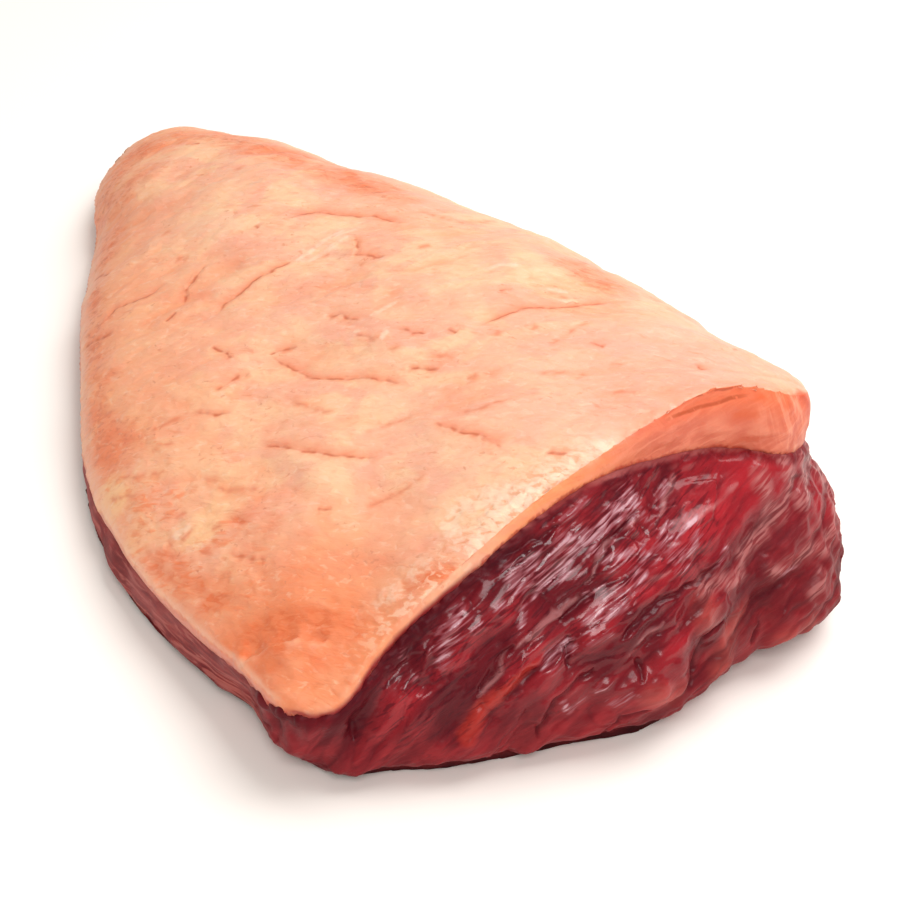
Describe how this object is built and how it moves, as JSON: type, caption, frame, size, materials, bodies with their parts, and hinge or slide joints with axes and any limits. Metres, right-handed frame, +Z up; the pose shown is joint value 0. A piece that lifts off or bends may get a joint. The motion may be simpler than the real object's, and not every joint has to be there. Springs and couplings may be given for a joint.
{
  "type": "raw picanha",
  "caption": "Raw picanha, a whole tapering beef sirloin cap lying fat side up, with its cut end bare and a thick cap of fat over the muscle.",
  "frame": {"origin": "middle of the bounding box in plan, on the surface that the meat lies on", "axes": "+X from the narrow tip to the wide cut end, +Y to the thick long side, +Z up through the fat"},
  "size_m": [0.2976, 0.1592, 0.0682],
  "materials": {
    "meat": "wet",
    "fat": "satin"
  },
  "bodies": {
    "root": {"meat": "meat", "fat_cap": "fat"}
  },
  "joints": []
}
